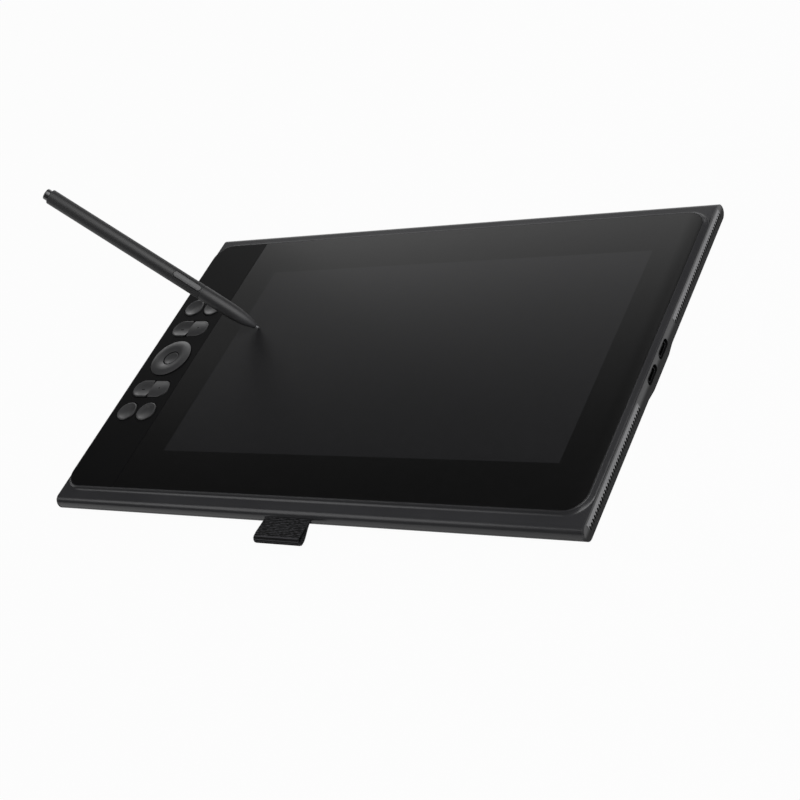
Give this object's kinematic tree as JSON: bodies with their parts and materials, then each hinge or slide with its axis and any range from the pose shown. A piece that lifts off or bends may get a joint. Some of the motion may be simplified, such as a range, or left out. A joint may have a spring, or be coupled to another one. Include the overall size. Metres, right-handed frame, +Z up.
{
  "type": "graphics tablet with screen",
  "caption": "Pen display: raised glass screen on a slim round-edged body, a strip of dished keys round a dial, vented ends with ports, a ribbon pull tab and its pen.",
  "frame": {"origin": "centre of the tablet body's footprint, on the desk plane under the rubber feet", "axes": "+X to the right along the long side, +Y to the back, +Z up out of the screen"},
  "size_m": [0.3716, 0.235, 0.1241],
  "materials": {
    "shell_metal": "anodised, fine matt charcoal",
    "cap_plastic": "matt charcoal",
    "foot_rubber": "matt",
    "screen_glass": "fine etched, black printed border",
    "strip_plastic": "satin black",
    "film": "adhesive film",
    "clear_bond": "clear adhesive",
    "cell_glass": "dark when off",
    "white_film": "white",
    "guide_acrylic": "clear",
    "circuit_board": "solder mask",
    "steel_sheet": "stamped sheet",
    "frame_metal": "stamped sheet",
    "dome_rubber": "silicone",
    "black_plastic": "moulded",
    "pin_steel": "turned",
    "key_plastic": "satin dark grey",
    "flex_film": "polyimide",
    "ribbon": "woven",
    "screw_steel": "black",
    "pen_plastic": "soft matt",
    "rocker_plastic": "matt",
    "nib_plastic": "grey acetal",
    "ferrite": "sintered",
    "copper": "wound wire"
  },
  "bodies": {
    "tablet": {"front_housing": "shell_metal", "back_cover": "shell_metal", "right_cap": "cap_plastic", "left_cap": "cap_plastic", "rubber_feet": "foot_rubber", "cover_glass": "screen_glass", "key_panel": "strip_plastic", "glass_tape": "film", "bond_layer": "clear_bond", "lcd_cell": "cell_glass", "diffuser_film": "white_film", "light_guide": "guide_acrylic", "led_bar": "circuit_board", "reflector_sheet": "white_film", "backlight_tray": "steel_sheet", "sensor_board": "circuit_board", "sensor_shield": "steel_sheet", "mid_frame": "frame_metal", "key_board": "circuit_board", "dome_mat": "dome_rubber", "dial_encoder": "black_plastic", "dial_hub": "pin_steel", "main_board": "circuit_board", "board_chips": "black_plastic", "socket_shells": "steel_sheet", "socket_tongues": "black_plastic", "key_flex": "flex_film", "screen_flex": "flex_film", "sensor_flex": "flex_film", "pull_tab": "ribbon", "tab_clamp": "steel_sheet", "cover_screws": "screw_steel", "frame_screws": "screw_steel", "board_screws": "screw_steel"},
    "key_back_left": {"key_back_left": "key_plastic"},
    "key_back_right": {"key_back_right": "key_plastic"},
    "key_upper_left": {"key_upper_left": "key_plastic"},
    "key_upper_right": {"key_upper_right": "key_plastic"},
    "key_lower_left": {"key_lower_left": "key_plastic"},
    "key_lower_right": {"key_lower_right": "key_plastic"},
    "key_front_left": {"key_front_left": "key_plastic"},
    "key_front_right": {"key_front_right": "key_plastic"},
    "dial": {"dial_ring": "key_plastic"},
    "dial_button": {"dial_button": "key_plastic"},
    "pen": {"pen_barrel": "pen_plastic", "pen_nose": "pen_plastic", "pen_ring": "black_plastic", "rocker_pin": "pin_steel", "pen_core": "ferrite", "pen_coil": "copper", "pressure_sensor": "black_plastic", "pen_board": "circuit_board", "rocker_switches": "pin_steel", "eraser_switch": "black_plastic"},
    "nib": {"pen_nib": "nib_plastic"},
    "rocker": {"pen_rocker": "rocker_plastic"},
    "eraser": {"pen_eraser": "rocker_plastic"}
  },
  "joints": [
    {"name": "key_back_left_press", "type": "slide", "parent": "tablet", "child": "key_back_left", "axis": [0, 0, -1], "range_m": [0, 0.0006], "stiffness_N_per_m": 150, "deforming": ["dome_mat"]},
    {"name": "key_back_right_press", "type": "slide", "parent": "tablet", "child": "key_back_right", "axis": [0, 0, -1], "range_m": [0, 0.0006], "stiffness_N_per_m": 150, "deforming": ["dome_mat"]},
    {"name": "key_upper_left_press", "type": "slide", "parent": "tablet", "child": "key_upper_left", "axis": [0, 0, -1], "range_m": [0, 0.0006], "stiffness_N_per_m": 150, "deforming": ["dome_mat"]},
    {"name": "key_upper_right_press", "type": "slide", "parent": "tablet", "child": "key_upper_right", "axis": [0, 0, -1], "range_m": [0, 0.0006], "stiffness_N_per_m": 150, "deforming": ["dome_mat"]},
    {"name": "key_lower_left_press", "type": "slide", "parent": "tablet", "child": "key_lower_left", "axis": [0, 0, -1], "range_m": [0, 0.0006], "stiffness_N_per_m": 150, "deforming": ["dome_mat"]},
    {"name": "key_lower_right_press", "type": "slide", "parent": "tablet", "child": "key_lower_right", "axis": [0, 0, -1], "range_m": [0, 0.0006], "stiffness_N_per_m": 150, "deforming": ["dome_mat"]},
    {"name": "key_front_left_press", "type": "slide", "parent": "tablet", "child": "key_front_left", "axis": [0, 0, -1], "range_m": [0, 0.0006], "stiffness_N_per_m": 150, "deforming": ["dome_mat"]},
    {"name": "key_front_right_press", "type": "slide", "parent": "tablet", "child": "key_front_right", "axis": [0, 0, -1], "range_m": [0, 0.0006], "stiffness_N_per_m": 150, "deforming": ["dome_mat"]},
    {"name": "dial_button_press", "type": "slide", "parent": "tablet", "child": "dial_button", "axis": [0, 0, -1], "range_m": [0, 0.0006], "stiffness_N_per_m": 150, "deforming": ["dome_mat"]},
    {"name": "dial_turn", "type": "hinge", "parent": "tablet", "child": "dial", "pos_m": [-0.14985, 0, 0.0134], "axis": [0, 0, 1], "continuous": true},
    {"name": "pen_lift", "type": "slide", "parent": "tablet", "child": "pen", "axis": [-0.6891, 0.0651, 0.7218], "range_m": [0, 0.15]},
    {"name": "nib_press", "type": "slide", "parent": "pen", "child": "nib", "axis": [-0.6891, 0.0651, 0.7218], "range_m": [0, 0.0008], "stiffness_N_per_m": 150},
    {"name": "rocker_tilt", "type": "hinge", "parent": "pen", "child": "rocker", "pos_m": [-0.12599, 0.02572, 0.05181], "axis": [0.2827, 0.9412, 0.185], "range_deg": [-2.5, 2.5], "stiffness_Nm_per_rad": 0.01},
    {"name": "eraser_press", "type": "slide", "parent": "pen", "child": "eraser", "axis": [0.6891, -0.0651, -0.7218], "range_m": [0, 0.0008], "stiffness_N_per_m": 150}
  ]
}
